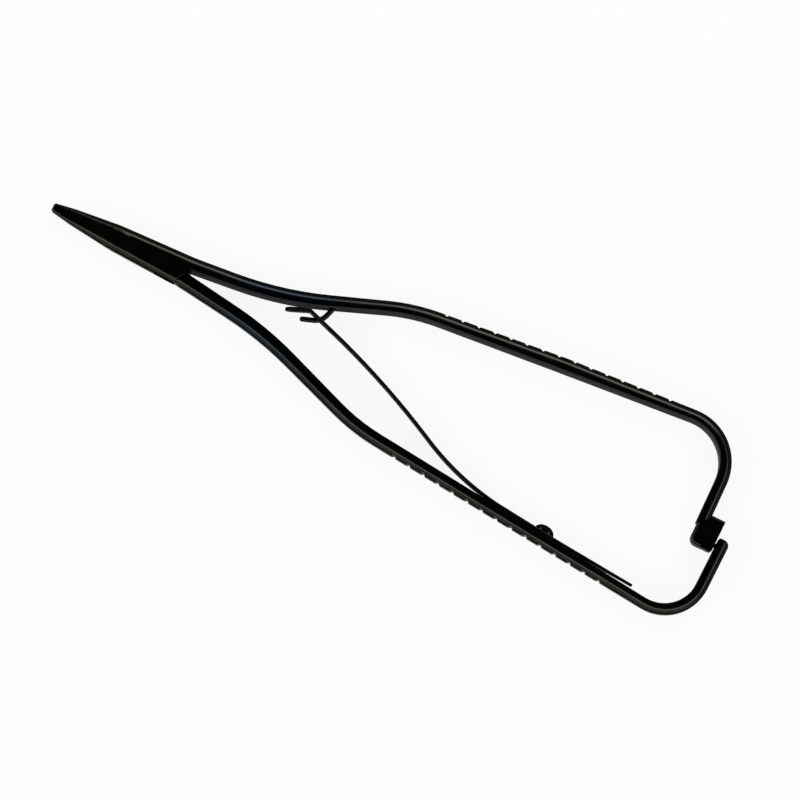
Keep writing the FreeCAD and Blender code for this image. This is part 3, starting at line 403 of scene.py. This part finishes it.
def make_hook(material):
    """The hook that holds the leaf's free end."""
    before = HOOK_BEND + (HOOK_ROOT - HOOK_BEND).normalized() * HOOK_TURN
    after = HOOK_BEND + (HOOK_END - HOOK_BEND).normalized() * HOOK_TURN
    path = [HOOK_ROOT]
    for index in range(HOOK_STEPS + 1):
        share = index / HOOK_STEPS
        path.append(before.lerp(HOOK_BEND, share).lerp(HOOK_BEND.lerp(after, share), share))
    path.append(HOOK_END)
    hook = new_object("hook_wire", tube(path, HOOK_RADIUS, HOOK_SIDES), material)
    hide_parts("spring_hook")
    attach(hook, "box_side")


# Screw: its rimmed dome and driver slot

SCREW_SEAT = Vector((88.1, -14.647, 2.5)) * MM
SCREW_OUT = Vector((0.0967, 0.9953, 0)).normalized()
SCREW_PROFILE = [       # radius and height over the arm, in mm, from the shank's foot to the crown
    (1.0, -1.55), (1.0, 0.6), (1.82, 0.6), (1.88, 0.66), (1.88, 0.94), (1.82, 1.02),
    (1.62, 1.33), (1.3, 1.6), (0.9, 1.8), (0.45, 1.9), (0.12, 1.93),
]
SCREW_SLOT = 0.5 * MM       # width of the driver slot
SCREW_SLOT_FLOOR = 1.45 * MM
SLOT_CUTTER_LENGTH = 6 * MM
SLOT_CUTTER_HEIGHT = 1.2 * MM
SCREW_SIDES = 48


def make_screw(material):
    """The screw that holds the leaf to the lower arm."""
    form = bmesh.new()
    rings = []
    for radius, height in SCREW_PROFILE:
        ring = []
        for side in range(SCREW_SIDES):
            turn = 2 * math.pi * side / SCREW_SIDES
            point = Vector((radius * math.cos(turn), radius * math.sin(turn), height)) * MM
            ring.append(form.verts.new(point))
        rings.append(ring)
    skin_rings(form, rings)
    screw = new_object("screw_turned", form, material)

    bar = bmesh.new()
    bmesh.ops.create_cube(bar, size=1)
    bmesh.ops.scale(bar, vec=(SLOT_CUTTER_LENGTH, SCREW_SLOT, SLOT_CUTTER_HEIGHT), verts=bar.verts)
    bmesh.ops.translate(bar, vec=(0, 0, SCREW_SLOT_FLOOR + SLOT_CUTTER_HEIGHT / 2), verts=bar.verts)
    cutter = new_object("slot_cutter", bar, material)
    slot = screw.modifiers.new("slot", "BOOLEAN")
    slot.operation = "DIFFERENCE"
    slot.object = cutter
    slot.solver = "EXACT"
    seen = screw.evaluated_get(bpy.context.evaluated_depsgraph_get())
    slotted = bpy.data.meshes.new_from_object(seen)
    screw.modifiers.clear()
    screw.data = slotted
    bpy.data.objects.remove(cutter)
    across = Vector((0, 0, 1))
    turn = Matrix((across.cross(SCREW_OUT) * -1, across, SCREW_OUT)).transposed()
    screw.matrix_world = Matrix.Translation(SCREW_SEAT) @ turn.to_4x4()
    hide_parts("spring_screw")
    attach(screw, "tongue_side")


# Jaw faces: the fine crosswise teeth that lie on the CAD's coarse ones

TEETH_PITCH = 0.5 * MM      # half the pitch of the teeth in the source
TEETH_DEPTH = 0.1 * MM
TEETH_FROM = -19.7 * MM
TEETH_TO = -11.22 * MM
JAW_TIP = -20.1 * MM
TIP_HALF_HEIGHT = 1.1 * MM
TAPER_TO = -6.0 * MM        # where the jaws have their full height
MIDDLE = 2.5 * MM
TEETH_MIDDLE = -15.65 * MM  # where the source's two sets of grooves cross
SKIRT = 0.24 * MM           # how far the plate reaches into the jaw
TEETH_REACH = 14 * MM       # width of the field of pyramids, before it is cut to the jaw
TEETH_INSET = 0.01 * MM     # how far the plate stays inside the jaw's upper and lower edges
TEETH_SHARP = math.radians(10)


def make_teeth(side, body, material):
    """Fine pyramids on a jaw's face: the upper jaw's where side is +1."""
    half = TEETH_PITCH / 2
    count = int(TEETH_REACH / half / 2)
    form = bmesh.new()
    points = {}

    def point(i, j):
        if (i, j) not in points:
            run = i * half / math.sqrt(2)
            rise = j * half / math.sqrt(2)
            deep = TEETH_DEPTH if i % 2 or j % 2 else 0.0
            x = TEETH_MIDDLE + run + rise
            z = MIDDLE - run + rise
            points[i, j] = form.verts.new((x, side * deep, z))
        return points[i, j]

    for i in range(-count, count, 2):
        for j in range(-count, count, 2):
            around = [(-1, -1), (1, -1), (1, 1), (-1, 1)]
            corners = [point(i + step, j + rise) for step, rise in around]
            apex = point(i, j)
            for start, end in zip(corners, corners[1:] + corners[:1]):
                form.faces.new((apex, start, end))

    slope = (MIDDLE - TIP_HALF_HEIGHT) / (TAPER_TO - JAW_TIP)
    top = MIDDLE + TIP_HALF_HEIGHT - TEETH_INSET
    bottom = MIDDLE - TIP_HALF_HEIGHT + TEETH_INSET
    cuts = [
        (Vector((TEETH_FROM, 0, 0)), Vector((-1, 0, 0))),
        (Vector((TEETH_TO, 0, 0)), Vector((1, 0, 0))),
        (Vector((JAW_TIP, 0, top)), Vector((-slope, 0, 1))),
        (Vector((JAW_TIP, 0, bottom)), Vector((-slope, 0, -1))),
    ]
    for place, out in cuts:
        slice_form(form, place, out, True)
    rim = [edge for edge in form.edges if edge.is_boundary]
    grown = bmesh.ops.extrude_edge_only(form, edges=rim)["geom"]
    for vertex in grown:
        if isinstance(vertex, bmesh.types.BMVert):
            vertex.co.y = side * SKIRT
    bmesh.ops.holes_fill(form, edges=[edge for edge in form.edges if edge.is_boundary])
    teeth = new_object("teeth_upper" if side > 0 else "teeth_lower", form, material, TEETH_SHARP)
    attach(teeth, body)


def main():
    """Builds the whole scene."""
    make_camera()
    bpy.context.scene.view_settings.view_transform = "Standard"
    for lamp in LAMPS:
        area_light(*lamp)
    studio_world()
    plain_floor()
    body_coat = coated_steel("dark_coating", *BODY_COAT)
    spring_coat = coated_steel("spring_coating", *SPRING_COAT)
    for name in ("box_half", "tongue_half", "pivot_pin"):
        finish_node(name, body_coat)
    make_leaf(spring_coat)
    make_hook(spring_coat)
    make_screw(body_coat)
    make_teeth(1, "tongue_side", body_coat)
    make_teeth(-1, "box_side", body_coat)


main()
